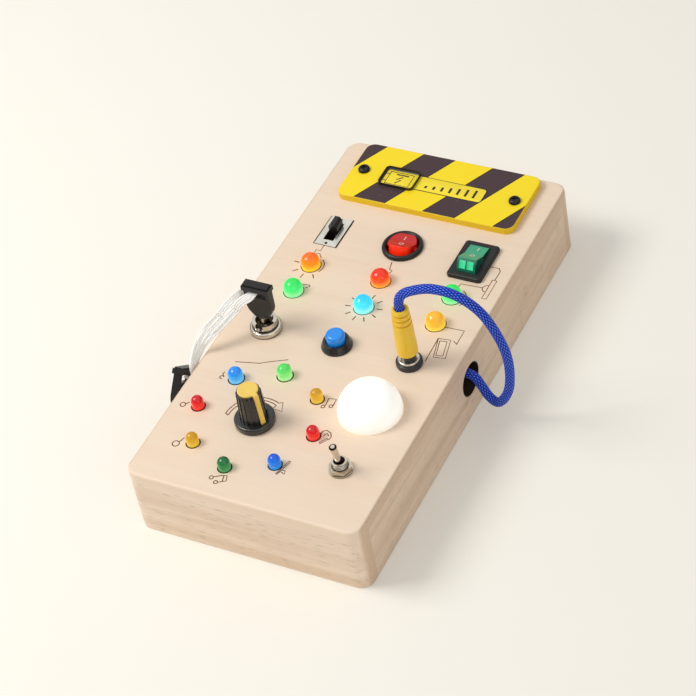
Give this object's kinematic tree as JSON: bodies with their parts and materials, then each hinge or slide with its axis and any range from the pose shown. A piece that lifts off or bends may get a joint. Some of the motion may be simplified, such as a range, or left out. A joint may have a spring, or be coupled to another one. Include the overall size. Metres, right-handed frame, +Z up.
{
  "type": "wooden busy board",
  "caption": "Wooden busy board for toddlers: a shallow case with switches, lamps, a key lock, a push button, a plug lead, a selector knob in a lamp ring, a toggle and a dome lamp.",
  "frame": {"origin": "middle of the case's underside, on the surface it lies on", "axes": "+Y along the case towards the sign, +Z up out of the top board, +X to the right of the controls"},
  "size_m": [0.1296, 0.2, 0.0763],
  "materials": {
    "wood_top": "pale wood, clear satin lacquer",
    "wood_side": "pale wood, clear satin lacquer",
    "wood_back": "plywood, sanded",
    "sign_yellow": "yellow plastic with printed stripes",
    "screw_black": "black oxide",
    "steel": "plain steel sheet",
    "zinc": "zinc plated",
    "chrome": "polished chrome plate",
    "nickel": "satin nickel plate",
    "brass": "plain brass",
    "aluminium": "turned aluminium",
    "black_plastic": "fine satin texture",
    "black_gloss": "moulded, glossy",
    "grey_plastic": "moulded",
    "white_plastic": "moulded",
    "red_rocker": "tinted, lit from inside",
    "green_rocker": "tinted, lit from inside",
    "blue_plastic": "moulded, glossy",
    "yellow_plastic": "moulded, satin",
    "yellow_shell": "moulded, satin",
    "brown_laminate": "phenolic sheet",
    "circuit_green": "solder mask",
    "cell_wrap": "printed sleeve",
    "lens_orange": "diffused lens, lit",
    "lens_red": "diffused lens, lit",
    "lens_cyan": "diffused lens, lit",
    "lens_amber": "diffused lens, lit",
    "lens_green": "diffused lens, lit",
    "lens_blue": "diffused lens, lit",
    "lens_yellow_dark": "diffused lens, unlit",
    "lens_red_dark": "diffused lens, unlit",
    "lens_blue_dark": "diffused lens, unlit",
    "lens_green_dark": "diffused lens, unlit",
    "dome_white": "opal, lit",
    "cord_white": "braided",
    "lead_blue": "braided sleeve"
  },
  "bodies": {
    "case": {"top_board": "wood_top", "board_near": "wood_side", "board_far": "wood_side", "board_left": "wood_side", "board_right": "wood_side", "back_board": "wood_back", "back_screws": "zinc", "battery_case": "black_plastic", "battery_cells": "cell_wrap", "battery_door": "black_plastic", "door_screw": "zinc", "circuit_board": "circuit_green", "board_pillars": "brass", "sign_plate": "sign_yellow", "sign_screws": "screw_black", "slide_face": "steel", "slide_body": "brown_laminate", "round_housing": "black_plastic", "rect_housing": "black_plastic", "led_orange": "lens_orange", "led_red": "lens_red", "led_cyan": "lens_cyan", "led_amber": "lens_amber", "leds_green": "lens_green", "ring_blue_lit": "lens_blue", "ring_green_lit": "lens_green", "ring_yellow": "lens_yellow_dark", "ring_red": "lens_red_dark", "ring_blue": "lens_blue_dark", "ring_green": "lens_green_dark", "lock_body": "chrome", "tether_drape": "cord_white", "push_housing": "black_gloss", "push_spring": "steel", "panel_nuts": "zinc", "jack_body": "black_plastic", "jack_ring": "chrome", "blue_lead": "lead_blue", "lead_anchor": "white_plastic", "selector_body": "grey_plastic", "toggle_body": "nickel", "toggle_nut": "nickel", "dome_lamp": "dome_white", "dome_board": "white_plastic"},
    "slider": {"slide_knob": "black_plastic"},
    "round_rocker": {"round_rocker": "red_rocker"},
    "rect_rocker": {"rect_rocker": "green_rocker"},
    "lock_plug": {"lock_rotor": "chrome"},
    "key": {"key_shank": "nickel", "key_head": "black_plastic", "tether_loop": "cord_white"},
    "spare_key": {"spare_shank": "nickel", "spare_head": "black_plastic"},
    "button": {"push_cap": "blue_plastic"},
    "plug": {"plug_shell": "yellow_shell", "plug_pin": "nickel"},
    "knob": {"knob_body": "black_plastic", "knob_cap": "yellow_plastic", "selector_shaft": "aluminium"},
    "toggle": {"toggle_lever": "nickel"}
  },
  "joints": [
    {"name": "slider_slide", "type": "slide", "parent": "case", "child": "slider", "axis": [0, -1, 0], "range_m": [0, 0.0046]},
    {"name": "round_rocker_tilt", "type": "hinge", "parent": "case", "child": "round_rocker", "pos_m": [0, 0.0452, 0.0313], "axis": [1, 0, 0], "range_deg": [0, 28]},
    {"name": "rect_rocker_tilt", "type": "hinge", "parent": "case", "child": "rect_rocker", "pos_m": [0.0316, 0.0452, 0.0315], "axis": [1, 0, 0], "range_deg": [0, 36]},
    {"name": "key_turn", "type": "hinge", "parent": "case", "child": "lock_plug", "pos_m": [-0.0324, -0.0139, 0.031], "axis": [0, 0, 1], "range_deg": [-90, 0], "deforming": ["tether_drape"]},
    {"name": "key_pull", "type": "slide", "parent": "lock_plug", "child": "key", "axis": [0, 0, 1], "range_m": [0, 0.0105], "deforming": ["tether_loop"]},
    {"name": "spare_key_swing", "type": "hinge", "parent": "case", "child": "spare_key", "pos_m": [-0.0546, -0.04236, 0.02434], "axis": [-1, 0, 0], "range_deg": [0, 35]},
    {"name": "button_press", "type": "slide", "parent": "case", "child": "button", "axis": [0, 0, -1], "range_m": [0, 0.0025], "stiffness_N_per_m": 200, "springref_m": -0.003, "deforming": ["push_spring"]},
    {"name": "plug_pull", "type": "slide", "parent": "case", "child": "plug", "axis": [0, 0, 1], "range_m": [0, 0.014], "deforming": ["blue_lead"]},
    {"name": "knob_turn", "type": "hinge", "parent": "case", "child": "knob", "pos_m": [-0.013, -0.0604, 0.0314], "axis": [0, 0, 1], "range_deg": [-36, 264]},
    {"name": "toggle_tilt", "type": "hinge", "parent": "case", "child": "toggle", "pos_m": [0.0297, -0.0723, 0.0337], "axis": [-1, 0, 0], "range_deg": [0, 20]}
  ]
}
